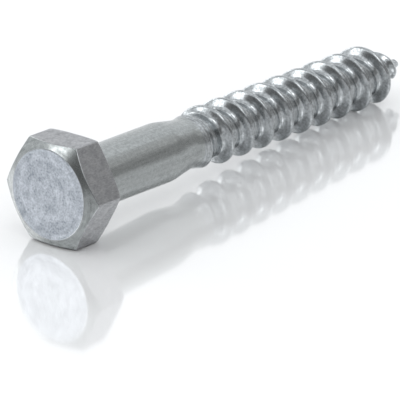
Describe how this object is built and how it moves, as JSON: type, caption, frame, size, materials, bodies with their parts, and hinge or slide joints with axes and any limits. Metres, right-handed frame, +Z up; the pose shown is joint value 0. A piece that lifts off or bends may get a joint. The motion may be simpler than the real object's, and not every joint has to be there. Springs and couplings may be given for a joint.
{
  "type": "lag screw",
  "caption": "Hexagon-head lag screw with a plain shank, a waisted run-in and a coarse rolled wood-screw thread ending in a gimlet point, lying at rest.",
  "frame": {"origin": "centre of the bearing face under the head, on the screw's axis", "axes": "+X along the screw towards its point, dipping 2.76 degrees as the screw lies at rest; +Z up, away from the table; +Y to the left when looking along +X"},
  "size_m": [0.087, 0.0196, 0.0173],
  "materials": {
    "zinc_plated_steel": "bright zinc plating over cold-headed and rolled steel, satin on the head and shank, shiny on the thread"
  },
  "bodies": {
    "root": {"lag_screw": "zinc_plated_steel"}
  },
  "joints": []
}
